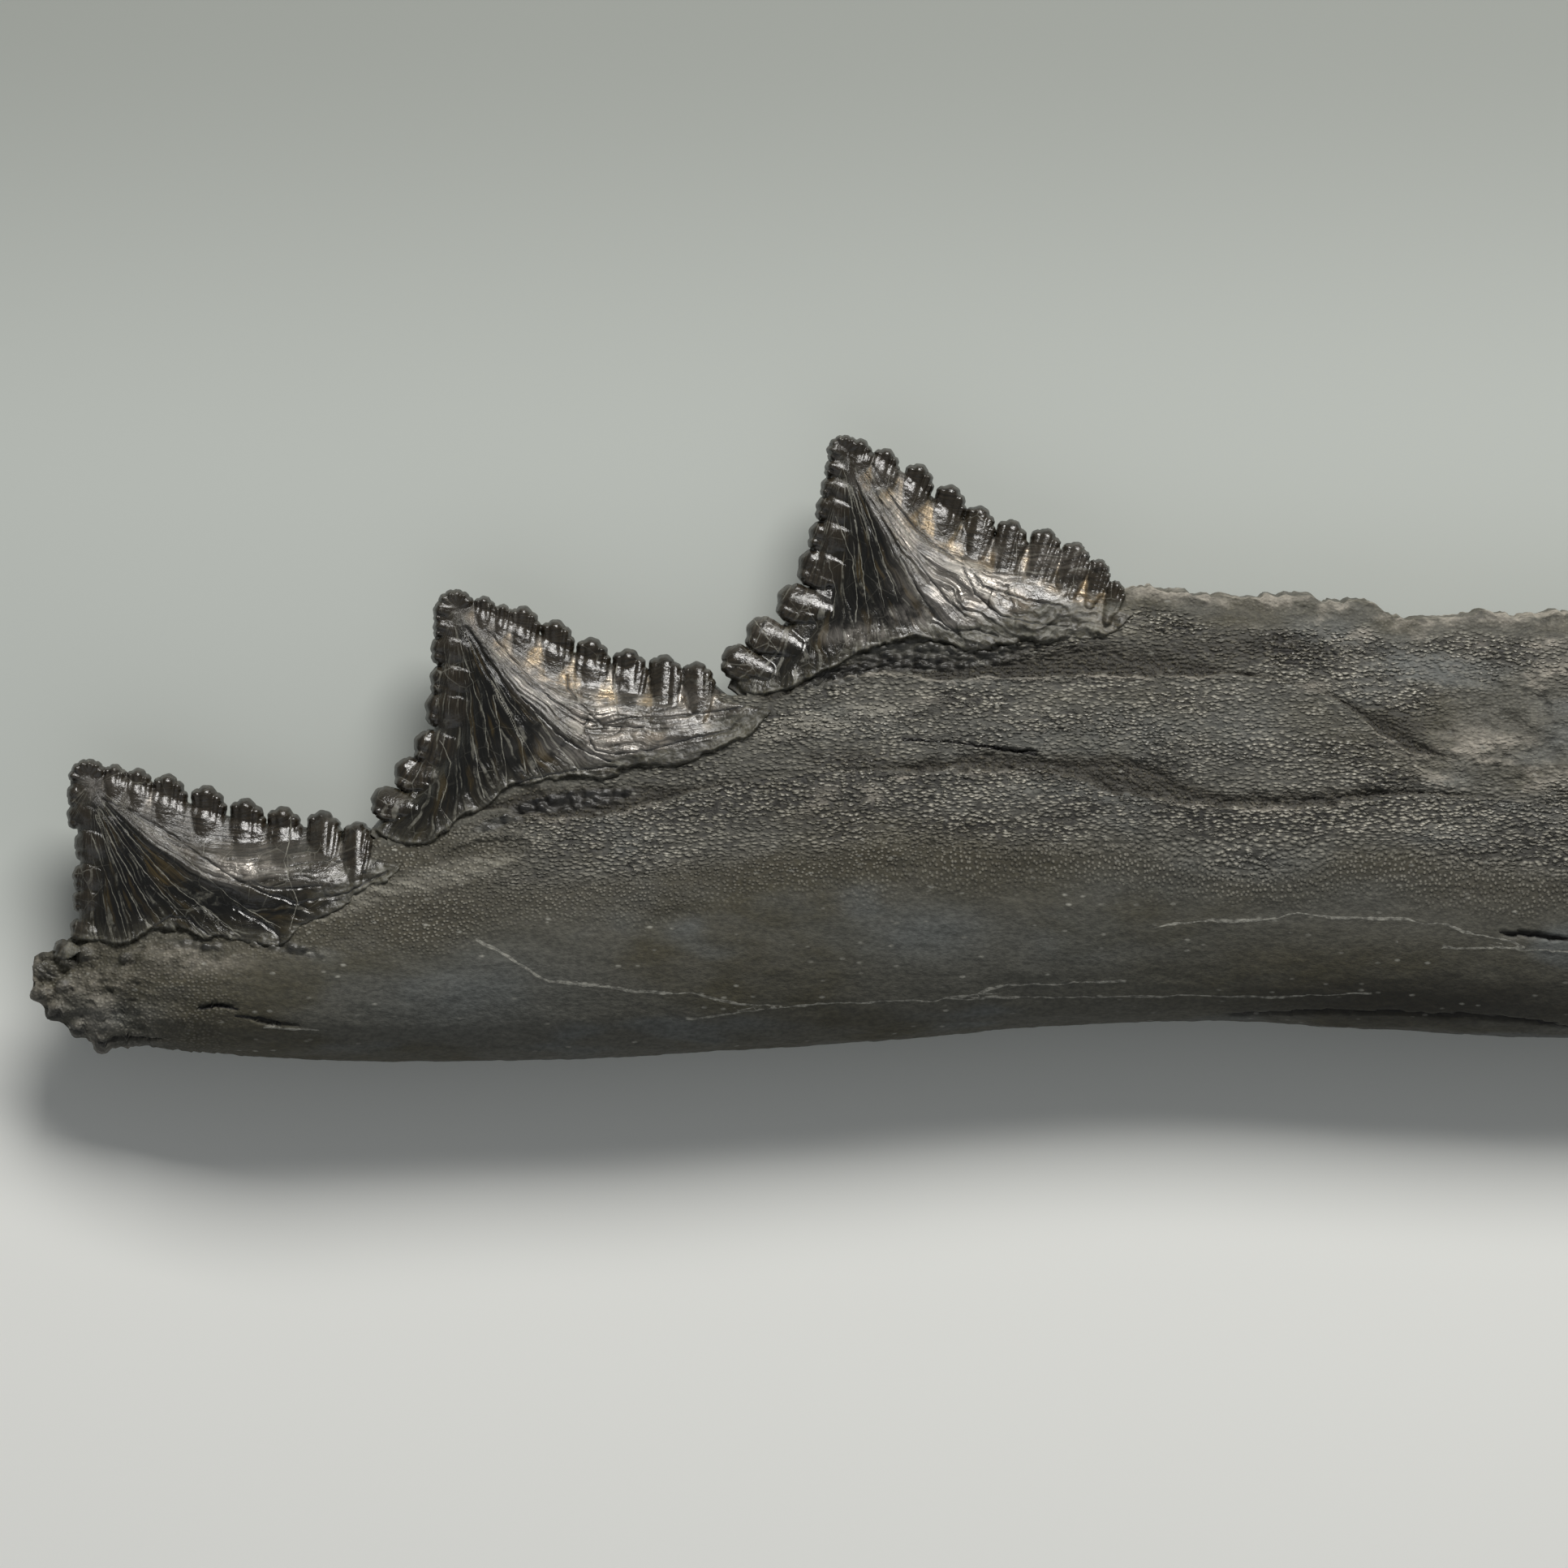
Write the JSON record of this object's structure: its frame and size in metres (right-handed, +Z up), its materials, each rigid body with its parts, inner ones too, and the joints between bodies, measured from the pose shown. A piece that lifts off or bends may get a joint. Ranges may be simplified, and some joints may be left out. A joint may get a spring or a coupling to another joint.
{
  "type": "fossil edestus shark jaw",
  "caption": "Fossil jaw of an extinct saw-toothed shark: large triangular serrated crowns in a row, their long V-shaped roots stacked one in the next.",
  "frame": {"origin": "centre of the outline, on the surface the jaw lies on", "axes": "+X from the front tooth towards the broken back end, +Y from the keel towards the tips of the crowns, +Z up through the jaw's thickness, towards the pictured side"},
  "size_m": [0.2174, 0.0776, 0.0193],
  "materials": {
    "fossil": "satin enamel over matt mineralised bone"
  },
  "bodies": {
    "root": {"front_tooth": "fossil", "middle_tooth": "fossil", "rear_tooth": "fossil"}
  },
  "joints": []
}
